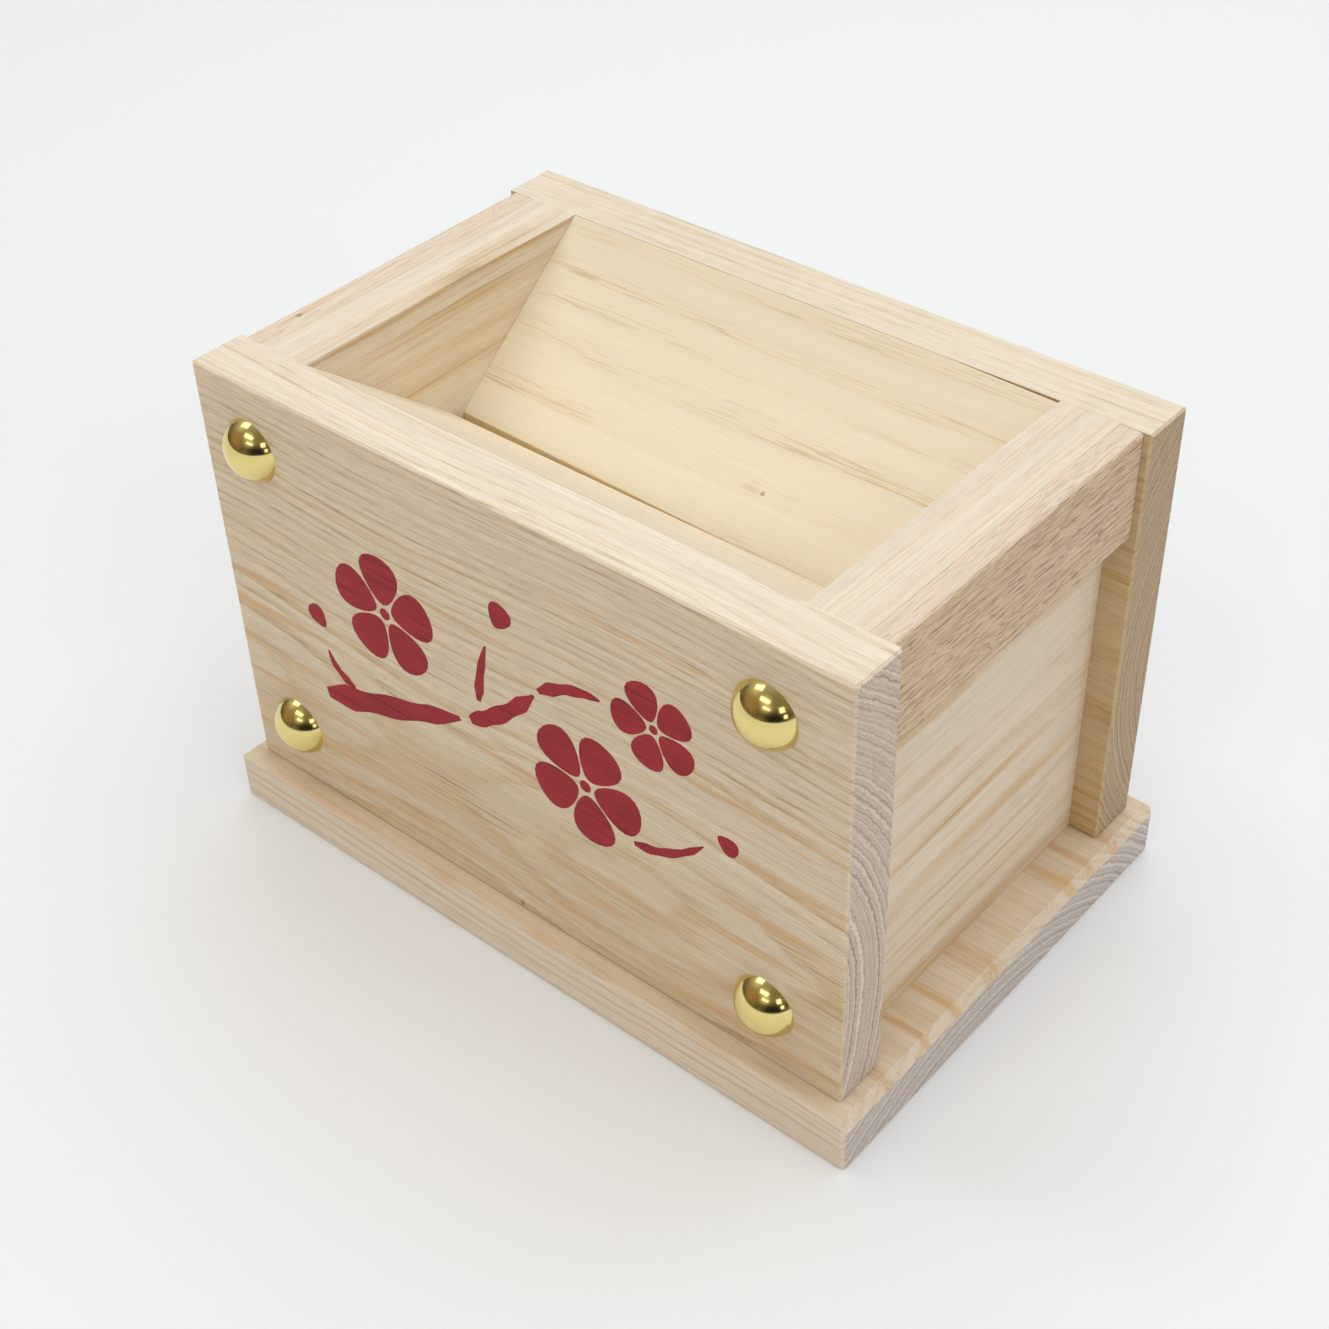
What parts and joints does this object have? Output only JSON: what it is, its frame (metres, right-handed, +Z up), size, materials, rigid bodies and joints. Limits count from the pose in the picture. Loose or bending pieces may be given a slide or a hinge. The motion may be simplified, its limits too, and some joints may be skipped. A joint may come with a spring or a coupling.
{
  "type": "donation box",
  "caption": "Small wooden offertory box: open hopper with sloping boards over a coin slot, brass dome nails, a spreading base and a drawer at the back for taking the money out.",
  "frame": {"origin": "centre of the base board's underside, on the surface that the box stands on", "axes": "+Z up, front of the box towards -Y, +X to the right as the front is seen"},
  "size_m": [0.2, 0.1409, 0.135],
  "materials": {
    "ash": "planed and sanded pale ash, unfinished, open pores",
    "ash_side": "planed pale ash with wide honey-coloured bands",
    "ash_strip": "coarse-pored reddish ash, planed",
    "chute_wood": "smooth pale yellow board with hairline grain",
    "inner_wood": "plain sanded softwood",
    "plywood": "thin sanded plywood",
    "dowel_wood": "turned beech dowel",
    "brass": "polished",
    "screw_steel": "bright zinc plated"
  },
  "bodies": {
    "box": {"base_board": "ash", "front_panel": "ash", "back_panel": "ash", "left_side_panel": "ash_side", "right_side_panel": "ash_side", "left_side_strip": "ash_strip", "right_side_strip": "ash_strip", "front_chute_board": "chute_wood", "rear_chute_board": "chute_wood", "front_left_chute_cleat": "inner_wood", "front_right_chute_cleat": "inner_wood", "rear_left_chute_cleat": "inner_wood", "rear_right_chute_cleat": "inner_wood", "upper_left_dome_nail": "brass", "lower_left_dome_nail": "brass", "upper_right_dome_nail": "brass", "lower_right_dome_nail": "brass", "front_corner_dowels": "dowel_wood", "rear_corner_dowels": "dowel_wood", "base_screws": "screw_steel", "drawer_stop": "inner_wood"},
    "drawer": {"drawer_front": "ash", "drawer_left_side": "inner_wood", "drawer_right_side": "inner_wood", "drawer_inner_end": "inner_wood", "drawer_bottom": "plywood", "drawer_knob": "brass", "drawer_knob_screw": "screw_steel"}
  },
  "joints": [
    {"name": "drawer_slide", "type": "slide", "parent": "box", "child": "drawer", "axis": [0, 1, 0], "range_m": [0, 0.085]}
  ]
}
